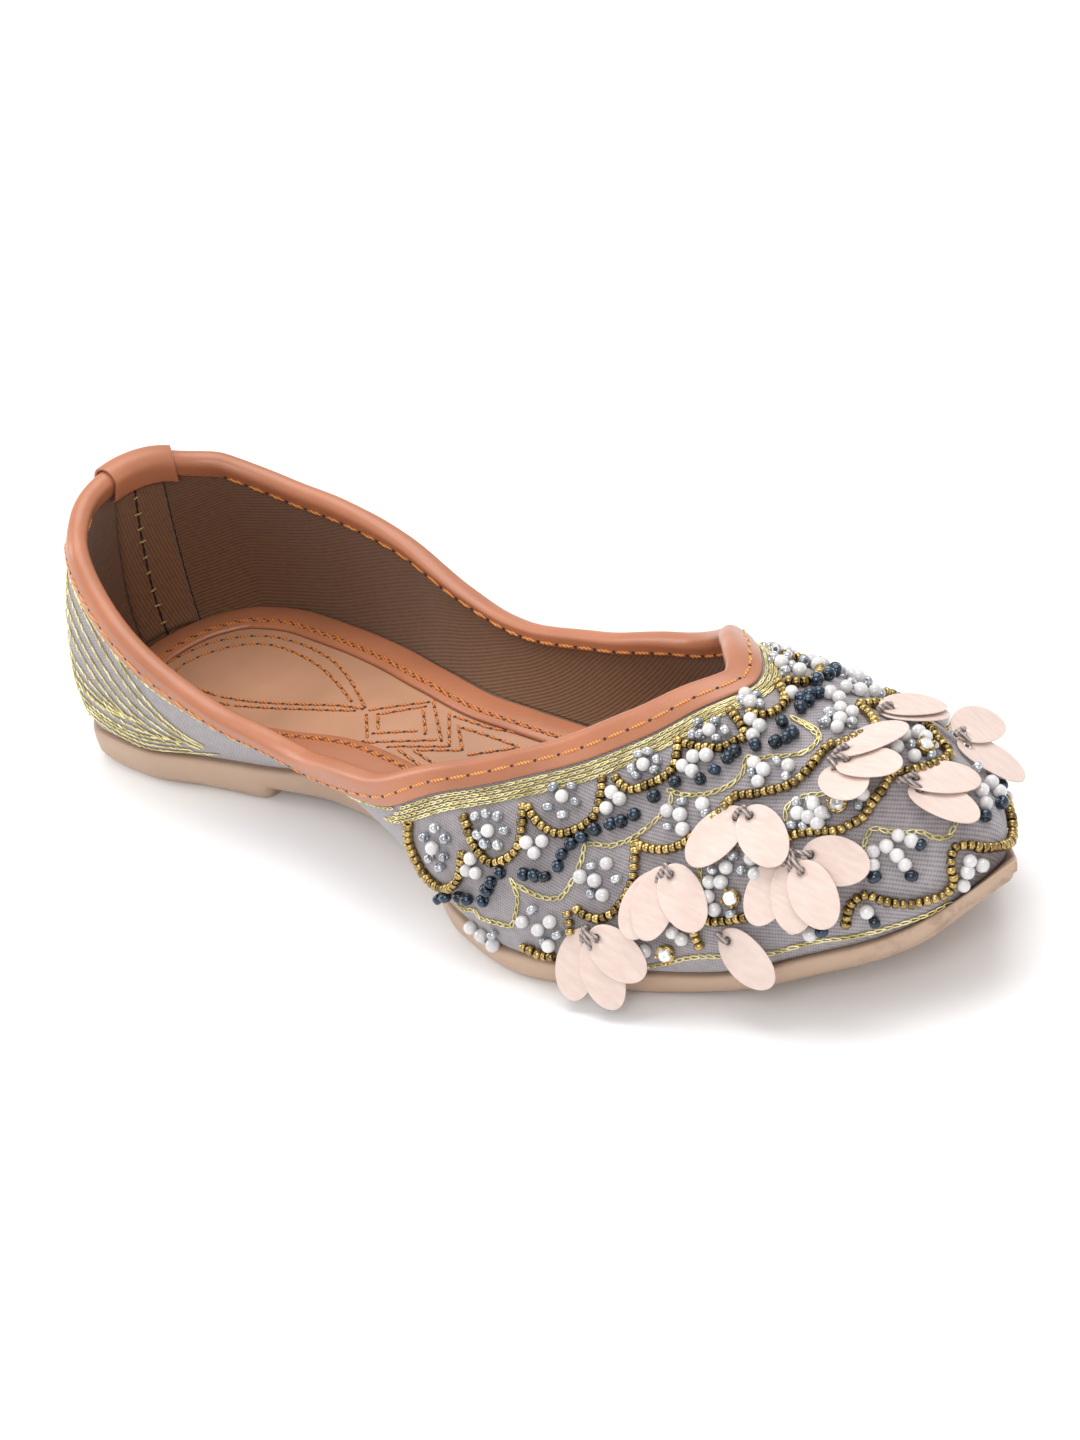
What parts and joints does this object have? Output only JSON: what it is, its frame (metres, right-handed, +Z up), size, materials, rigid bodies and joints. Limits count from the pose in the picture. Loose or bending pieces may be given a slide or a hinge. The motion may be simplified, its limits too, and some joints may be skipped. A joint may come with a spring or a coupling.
{
  "type": "mojari shoe",
  "caption": "Flat slip-on shoe for the right foot: low collar with a leather binding, closed beaded vamp, tan insole and a moulded sole with a small turned-up toe.",
  "frame": {"origin": "on the floor, under the middle of the shoe's box", "axes": "+X towards the toe, +Y towards the inner side of the foot, +Z up"},
  "size_m": [0.2512, 0.0906, 0.0579],
  "materials": {
    "sole_rubber": "matte beige-pink moulded rubber",
    "upper_fabric": "matte grey fine ribbed weave",
    "insole_leather": "satin brown-tan",
    "binding_leather": "smooth terracotta-tan, soft gloss",
    "disc_satin": "thin satin discs of pale peach"
  },
  "bodies": {
    "root": {"outsole": "sole_rubber", "upper": "upper_fabric", "insole": "insole_leather", "insole_border": "binding_leather", "collar_binding": "binding_leather", "back_tab": "binding_leather", "disc_01": "disc_satin", "disc_02": "disc_satin", "disc_03": "disc_satin", "disc_04": "disc_satin", "disc_05": "disc_satin", "disc_06": "disc_satin", "disc_07": "disc_satin", "disc_08": "disc_satin", "disc_09": "disc_satin", "disc_10": "disc_satin", "disc_11": "disc_satin", "disc_12": "disc_satin", "disc_13": "disc_satin", "disc_14": "disc_satin", "disc_15": "disc_satin", "disc_16": "disc_satin", "disc_17": "disc_satin", "disc_18": "disc_satin", "disc_19": "disc_satin", "disc_20": "disc_satin", "disc_21": "disc_satin", "disc_22": "disc_satin"}
  },
  "joints": []
}
